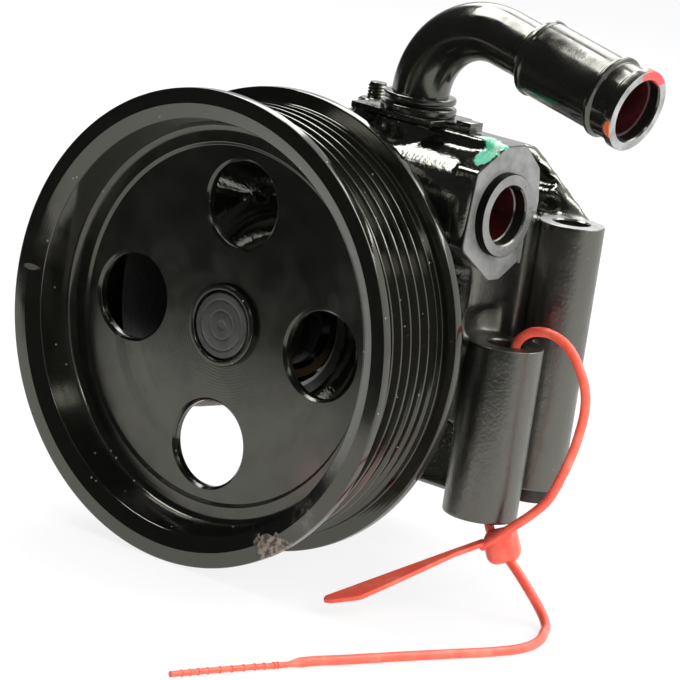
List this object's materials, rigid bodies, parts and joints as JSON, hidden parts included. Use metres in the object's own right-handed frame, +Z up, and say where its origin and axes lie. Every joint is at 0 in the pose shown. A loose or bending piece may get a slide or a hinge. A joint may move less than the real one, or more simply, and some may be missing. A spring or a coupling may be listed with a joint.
{
  "type": "power steering pump",
  "caption": "Belt-driven vane pump with a grooved pulley, a cast body with upright bolt bosses, a threaded pressure port, a bent suction pipe and a looped plastic seal tie.",
  "frame": {"origin": "On the axis of the rear mounting boss's bore, level with the drive shaft.", "axes": "+Z runs up the mounting bolt's bore, the pulley faces -Y along the drive shaft, and the pressure port opens to +X."},
  "size_m": [0.1541, 0.1747, 0.1461],
  "materials": {
    "pulley_paint": "gloss black paint over a turned and pressed steel pulley",
    "body_paint": "wet-looking black paint over a rough casting",
    "shaft_steel": "turned steel with a dark wash of paint",
    "bearing_steel": "ground steel",
    "spring_steel": "dark spring steel",
    "bronze": "plain bearing bronze",
    "rubber": "black seal rubber",
    "tie_plastic": "moulded red plastic, slightly translucent"
  },
  "bodies": {
    "housing": {"bearing_outer_race": "bearing_steel", "bearing_snap_ring": "spring_steel", "shaft_seal": "rubber", "shaft_bush": "bronze", "pump_housing": "body_paint", "front_plate": "bearing_steel", "cam_ring": "bearing_steel", "pressure_plate": "bearing_steel", "dowel_pins": "bearing_steel", "plate_spring": "spring_steel", "rear_cover": "body_paint", "cover_o_ring": "rubber", "cover_bolts": "body_paint", "outlet_fitting": "shaft_steel", "fitting_o_ring": "rubber", "flow_spring": "spring_steel", "valve_plug": "body_paint", "plug_o_ring": "rubber", "suction_pipe": "body_paint", "pipe_o_ring": "rubber", "pipe_retainer": "body_paint", "retainer_stud": "body_paint", "retainer_nut": "body_paint", "mount_sleeve": "shaft_steel", "passage_plug": "body_paint", "seal_strap": "tie_plastic", "seal_lock": "tie_plastic", "seal_tag": "tie_plastic"},
    "rotating_group": {"pulley": "pulley_paint", "pulley_hub": "pulley_paint", "drive_shaft": "shaft_steel", "bearing_inner_race": "bearing_steel", "rotor": "bearing_steel", "vanes": "bearing_steel", "rotor_snap_ring": "spring_steel"},
    "ball_set": {"bearing_balls": "bearing_steel", "bearing_cage": "bronze"},
    "spool": {"flow_spool": "bearing_steel"}
  },
  "joints": [
    {"name": "pulley_spin", "type": "hinge", "parent": "housing", "child": "rotating_group", "pos_m": [-0.0578, 0, 0], "axis": [0, 1, 0], "continuous": true},
    {"name": "cage_spin", "type": "hinge", "parent": "housing", "child": "ball_set", "pos_m": [-0.0578, 0, 0], "axis": [0, 1, 0], "continuous": true},
    {"name": "spool_slide", "type": "slide", "parent": "housing", "child": "spool", "axis": [-1, 0, 0], "range_m": [0, 0.006], "stiffness_N_per_m": 5000, "springref_m": -0.004, "deforming": ["flow_spring"]}
  ],
  "couplings": [
    {"joint": "cage_spin", "follows": "pulley_spin", "ratio": 0.3842}
  ]
}
